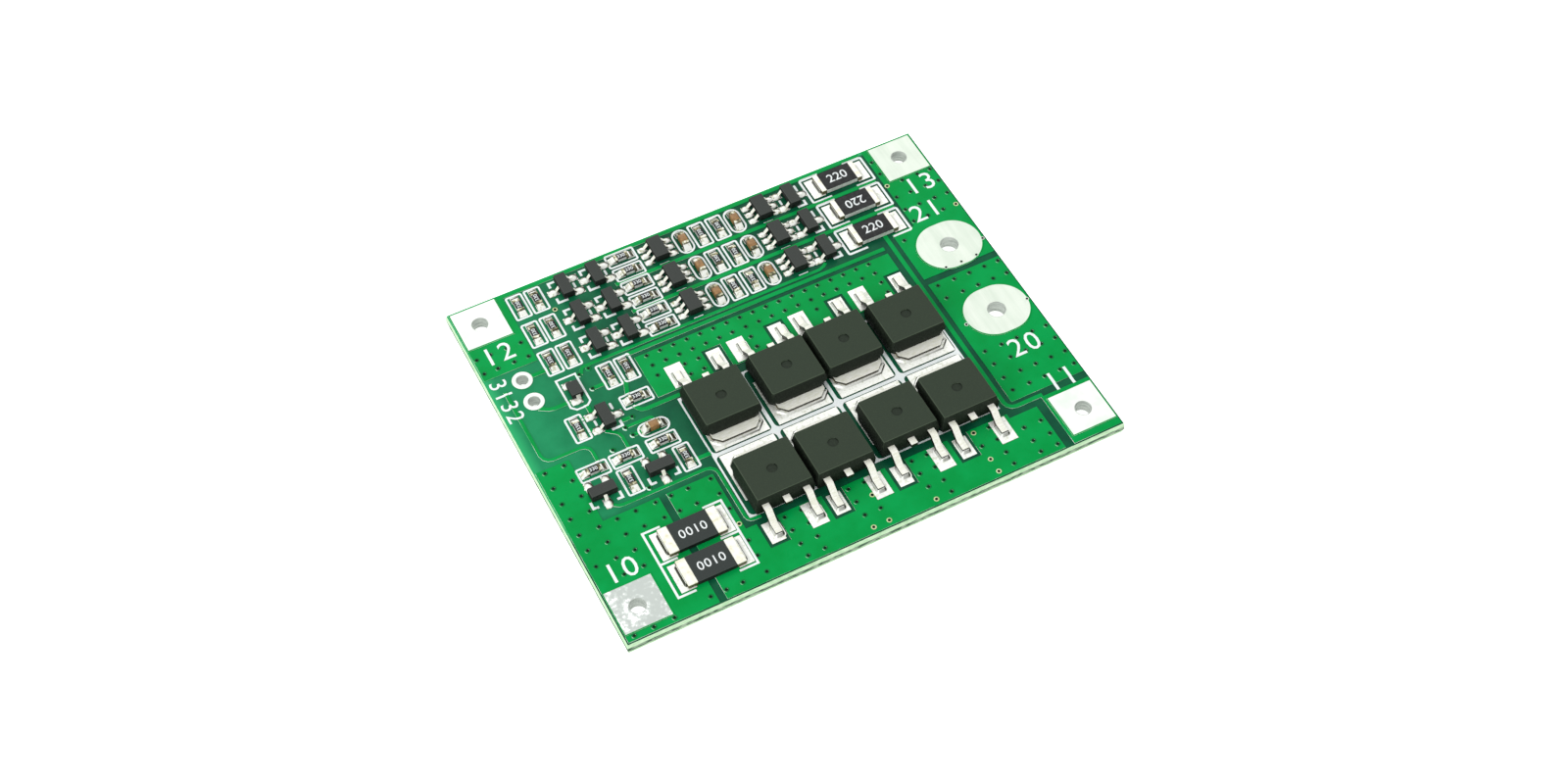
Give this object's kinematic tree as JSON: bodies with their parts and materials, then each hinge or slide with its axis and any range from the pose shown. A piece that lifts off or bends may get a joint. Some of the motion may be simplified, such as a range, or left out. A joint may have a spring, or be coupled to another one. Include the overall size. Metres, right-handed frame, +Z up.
{
  "type": "battery management board",
  "caption": "Green circuit board that protects and balances a small battery pack, with plated wire terminals, power transistors and shunt resistors.",
  "frame": {"origin": "middle of the underside of the board", "axes": "+X along the long edge, towards the output terminals; +Y towards the edge with the three channels; +Z up out of the component side"},
  "size_m": [0.056, 0.045, 0.0039],
  "materials": {
    "laminate": "green solder mask, glossy",
    "tinned_pad": "bright tin, slightly uneven",
    "transistor_epoxy": "matt moulded epoxy",
    "transistor_frame": "matt tin plate",
    "shunt_black": "matt black coat",
    "chip_end": "tin plate",
    "chip_ceramic": "plain alumina",
    "chip_coat": "black glaze",
    "small_lead": "tin plate",
    "chip_epoxy": "matt moulded epoxy",
    "capacitor_ceramic": "plain brown ceramic",
    "solder": "solder, slightly uneven",
    "masked_copper": "copper under green solder mask, glossy"
  },
  "bodies": {
    "root": {"balance_chip_1_case": "chip_epoxy", "balance_chip_1_leads": "small_lead", "balance_chip_2_case": "chip_epoxy", "balance_chip_2_leads": "small_lead", "balance_chip_3_case": "chip_epoxy", "balance_chip_3_leads": "small_lead", "balance_resistor_coats": "chip_coat", "balance_resistor_cores": "chip_ceramic", "balance_resistor_ends": "chip_end", "capacitor_bodies": "capacitor_ceramic", "capacitor_ends": "chip_end", "chip_resistor_coats": "chip_coat", "chip_resistor_cores": "chip_ceramic", "chip_resistor_ends": "chip_end", "component_lands": "solder", "copper_foil": "masked_copper", "diode_body": "chip_epoxy", "diode_leads": "small_lead", "guard_chip_1_case": "chip_epoxy", "guard_chip_1_leads": "small_lead", "guard_chip_2_case": "chip_epoxy", "guard_chip_2_leads": "small_lead", "guard_chip_3_case": "chip_epoxy", "guard_chip_3_leads": "small_lead", "laminate": "laminate", "power_transistor_1_case": "transistor_epoxy", "power_transistor_1_frame": "transistor_frame", "power_transistor_2_case": "transistor_epoxy", "power_transistor_2_frame": "transistor_frame", "power_transistor_3_case": "transistor_epoxy", "power_transistor_3_frame": "transistor_frame", "power_transistor_4_case": "transistor_epoxy", "power_transistor_4_frame": "transistor_frame", "power_transistor_5_case": "transistor_epoxy", "power_transistor_5_frame": "transistor_frame", "power_transistor_6_case": "transistor_epoxy", "power_transistor_6_frame": "transistor_frame", "power_transistor_7_case": "transistor_epoxy", "power_transistor_7_frame": "transistor_frame", "power_transistor_8_case": "transistor_epoxy", "power_transistor_8_frame": "transistor_frame", "shunt_resistor_1_body": "shunt_black", "shunt_resistor_1_ends": "chip_end", "shunt_resistor_2_body": "shunt_black", "shunt_resistor_2_ends": "chip_end", "small_transistor_cases": "chip_epoxy", "small_transistor_leads": "small_lead", "terminal_cell_minus": "tinned_pad", "terminal_cell_one": "tinned_pad", "terminal_cell_plus": "tinned_pad", "terminal_cell_two": "tinned_pad", "terminal_output_minus": "tinned_pad", "terminal_output_plus": "tinned_pad", "terminal_sense_one": "tinned_pad", "terminal_sense_two": "tinned_pad"}
  },
  "joints": []
}
